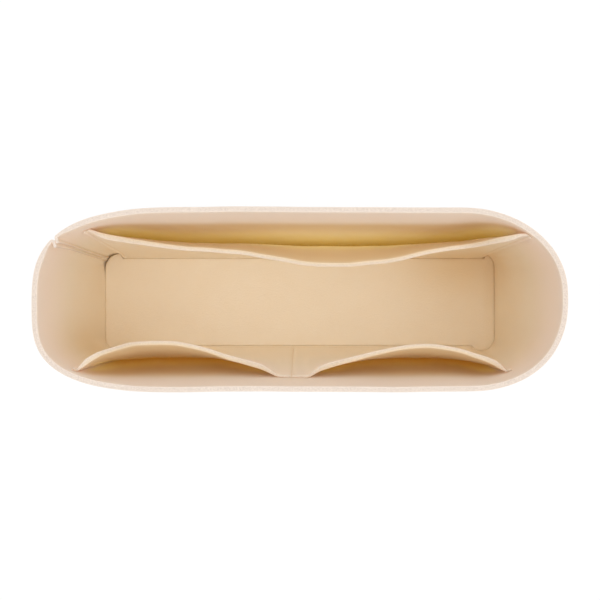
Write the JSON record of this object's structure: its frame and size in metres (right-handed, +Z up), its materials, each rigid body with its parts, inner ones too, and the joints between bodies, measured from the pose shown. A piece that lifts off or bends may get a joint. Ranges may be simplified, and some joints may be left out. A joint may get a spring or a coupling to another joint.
{
  "type": "purse organizer insert",
  "caption": "Open-topped felt insert that stands in a handbag, with a flat floor, a wide back pocket and two front pockets.",
  "frame": {"origin": "on the surface it stands on, below the centre of the rim's bounding box", "axes": "+X along the length, +Y towards the back wall with the single wide pocket, +Z up out of the open top"},
  "size_m": [0.283, 0.0976, 0.145],
  "materials": {
    "felt": "pale beige pressed felt, matte, with raw cut edges",
    "board": "plain stiffener board",
    "thread": "matte sewing thread in the felt's colour"
  },
  "bodies": {
    "root": {"wall_strip": "felt", "base_panel": "felt", "base_board": "board", "floor_panel": "felt", "back_pocket_panel": "felt", "front_pocket_panel": "felt", "back_pocket_needle_thread": "thread", "back_pocket_bobbin_thread": "thread", "front_pocket_needle_thread": "thread", "front_pocket_bobbin_thread": "thread", "pocket_divider_needle_thread": "thread", "pocket_divider_bobbin_thread": "thread", "corner_seam_needle_thread": "thread", "corner_seam_bobbin_thread": "thread", "base_overcast_thread": "thread"}
  },
  "joints": []
}
